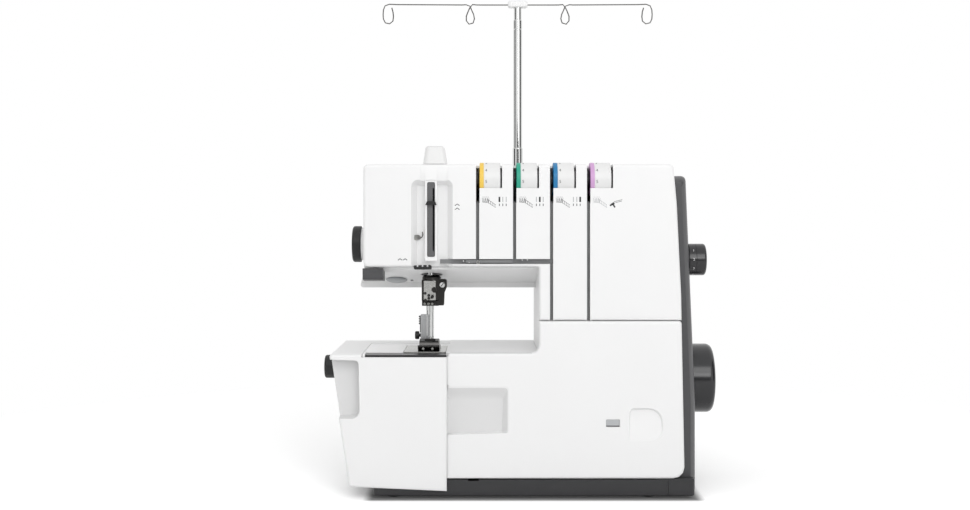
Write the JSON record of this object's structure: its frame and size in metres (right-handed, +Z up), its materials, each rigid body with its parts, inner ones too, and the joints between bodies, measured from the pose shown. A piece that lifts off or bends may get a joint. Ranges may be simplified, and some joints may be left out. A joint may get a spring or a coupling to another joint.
{
  "type": "serger overlock machine",
  "caption": "Free-arm coverstitch serger with a C-shaped body, thread channels with tension dials, a slide-on table, a handwheel and a telescopic thread stand.",
  "frame": {"origin": "middle of the whole machine's footprint, on the surface it stands on", "axes": "+Z up, -Y towards the person who sews, +X to that person's right, where the handwheel is"},
  "size_m": [0.4083, 0.2653, 0.527],
  "materials": {
    "white_shell": "satin moulded ABS, white",
    "pale_moulding": "satin moulded ABS, off-white",
    "dark_shell": "satin moulded ABS, charcoal",
    "base_plastic": "satin moulded ABS, dark grey",
    "black_plastic": "satin moulded plastic, black",
    "chrome": "polished chrome plate",
    "steel": "fine ground steel",
    "alloy": "as-cast aluminium alloy",
    "rubber": "dull moulded rubber",
    "lens": "frosted clear polycarbonate"
  },
  "bodies": {
    "machine_body": {"upper_front_cover": "white_shell", "rear_casing": "white_shell", "bed_casing": "white_shell", "spool_tray": "white_shell", "take_up_hood": "pale_moulding", "cone_pin_1": "pale_moulding", "cone_pin_2": "pale_moulding", "cone_pin_3": "pale_moulding", "cone_pin_4": "pale_moulding", "side_casing": "dark_shell", "take_up_guide": "dark_shell", "thread_cutter": "dark_shell", "base_tray": "base_plastic", "thread_channel_liner": "base_plastic", "cloth_plate": "base_plastic", "head_thread_guide": "black_plastic", "power_inlet": "black_plastic", "stand_base_tube": "chrome", "needle_plate": "steel", "tension_discs_1": "steel", "tension_discs_2": "steel", "tension_discs_3": "steel", "tension_discs_4": "steel", "main_frame": "alloy", "motor": "alloy", "rubber_foot_1": "rubber", "rubber_foot_2": "rubber", "rubber_foot_3": "rubber", "rubber_foot_4": "rubber", "drive_belt": "rubber", "lamp_lens": "lens"},
    "drive_wheel": {"handwheel": "dark_shell", "main_shaft": "steel"},
    "motor_pulley": {"motor_pulley": "black_plastic"},
    "needle_bar": {"needle_bar": "chrome", "needle_clamp": "steel", "needle_left": "chrome", "needle_middle": "chrome", "needle_right": "chrome"},
    "take_up_lever": {"take_up_lever": "black_plastic"},
    "looper": {"looper": "steel"},
    "feed_dog": {"feed_dog": "steel"},
    "presser_bar": {"presser_bar": "steel", "presser_foot": "steel"},
    "lifter_lever": {"lifter_lever": "dark_shell"},
    "tension_dial_1": {"tension_dial_1": "pale_moulding"},
    "tension_dial_2": {"tension_dial_2": "pale_moulding"},
    "tension_dial_3": {"tension_dial_3": "pale_moulding"},
    "tension_dial_4": {"tension_dial_4": "pale_moulding"},
    "pressure_knob": {"pressure_knob": "dark_shell"},
    "stitch_length_dial": {"stitch_length_dial": "dark_shell"},
    "extension_table": {"extension_table": "white_shell"},
    "table_lock_knob": {"table_lock_knob": "dark_shell"},
    "cover_hinge": {"cover_hinge": "steel"},
    "looper_cover": {"looper_cover": "white_shell"},
    "stand_middle_tube": {"stand_middle_tube": "chrome"},
    "stand_top": {"stand_top_tube": "chrome", "wire_holder": "white_shell", "guide_wire": "steel"},
    "power_switch": {"power_switch": "black_plastic"}
  },
  "joints": [
    {"name": "wheel_spin", "type": "hinge", "parent": "machine_body", "child": "drive_wheel", "pos_m": [0, -0.035, 0.111], "axis": [1, 0, 0], "continuous": true},
    {"name": "motor_spin", "type": "hinge", "parent": "machine_body", "child": "motor_pulley", "pos_m": [0, -0.052, 0.058], "axis": [1, 0, 0], "continuous": true},
    {"name": "needle_bar_slide", "type": "slide", "parent": "machine_body", "child": "needle_bar", "axis": [0, 0, 1], "range_m": [-0.025, 0]},
    {"name": "take_up_slide", "type": "slide", "parent": "machine_body", "child": "take_up_lever", "axis": [0, 0, 1], "range_m": [-0.03, 0]},
    {"name": "looper_swing", "type": "hinge", "parent": "machine_body", "child": "looper", "pos_m": [-0.0867, 0, 0.106], "axis": [0, 1, 0], "range_deg": [0, 16]},
    {"name": "feed_dog_slide", "type": "slide", "parent": "machine_body", "child": "feed_dog", "axis": [0, 0, 1], "range_m": [-0.002, 0]},
    {"name": "presser_bar_slide", "type": "slide", "parent": "machine_body", "child": "presser_bar", "axis": [0, 0, 1], "range_m": [0, 0.006]},
    {"name": "lifter_pivot", "type": "hinge", "parent": "machine_body", "child": "lifter_lever", "pos_m": [-0.0735, 0.016, 0.226], "axis": [1, 0, 0], "range_deg": [0, 30]},
    {"name": "tension_turn_1", "type": "hinge", "parent": "machine_body", "child": "tension_dial_1", "pos_m": [-0.049, -0.114, 0.3207], "axis": [1, 0, 0], "range_deg": [-180, 180]},
    {"name": "tension_turn_2", "type": "hinge", "parent": "machine_body", "child": "tension_dial_2", "pos_m": [-0.012, -0.114, 0.3207], "axis": [1, 0, 0], "range_deg": [-180, 180]},
    {"name": "tension_turn_3", "type": "hinge", "parent": "machine_body", "child": "tension_dial_3", "pos_m": [0.025, -0.114, 0.3207], "axis": [1, 0, 0], "range_deg": [-180, 180]},
    {"name": "tension_turn_4", "type": "hinge", "parent": "machine_body", "child": "tension_dial_4", "pos_m": [0.062, -0.114, 0.3207], "axis": [1, 0, 0], "range_deg": [-180, 180]},
    {"name": "pressure_turn", "type": "hinge", "parent": "machine_body", "child": "pressure_knob", "pos_m": [-0.17, -0.085, 0.255], "axis": [1, 0, 0], "range_deg": [-150, 150]},
    {"name": "stitch_length_turn", "type": "hinge", "parent": "machine_body", "child": "stitch_length_dial", "pos_m": [0.18, -0.07, 0.2386], "axis": [1, 0, 0], "range_deg": [-120, 120]},
    {"name": "table_slide", "type": "slide", "parent": "machine_body", "child": "extension_table", "axis": [-1, 0, 0], "range_m": [0, 0.12]},
    {"name": "table_lock_turn", "type": "hinge", "parent": "extension_table", "child": "table_lock_knob", "pos_m": [-0.2, -0.07, 0.127], "axis": [1, 0, 0], "range_deg": [0, 90]},
    {"name": "cover_slide", "type": "slide", "parent": "machine_body", "child": "cover_hinge", "axis": [1, 0, 0], "range_m": [0, 0.008]},
    {"name": "cover_swing", "type": "hinge", "parent": "cover_hinge", "child": "looper_cover", "pos_m": [0, -0.126, 0.025], "axis": [1, 0, 0], "range_deg": [0, 80]},
    {"name": "stand_middle_slide", "type": "slide", "parent": "machine_body", "child": "stand_middle_tube", "axis": [0, 0, -1], "range_m": [0, 0.13]},
    {"name": "stand_top_slide", "type": "slide", "parent": "stand_middle_tube", "child": "stand_top", "axis": [0, 0, -1], "range_m": [0, 0.0135]},
    {"name": "switch_rock", "type": "hinge", "parent": "machine_body", "child": "power_switch", "pos_m": [0.1737, 0, 0.04], "axis": [0, 1, 0], "range_deg": [-14, 0]}
  ],
  "couplings": [
    {"joint": "motor_spin", "follows": "wheel_spin", "ratio": 3.5},
    {"joint": "take_up_slide", "follows": "needle_bar_slide", "ratio": 1.2},
    {"joint": "looper_swing", "follows": "needle_bar_slide", "rad_per_m": -11.17},
    {"joint": "feed_dog_slide", "follows": "needle_bar_slide", "ratio": 0.08},
    {"joint": "lifter_pivot", "follows": "presser_bar_slide", "rad_per_m": 87.266}
  ]
}
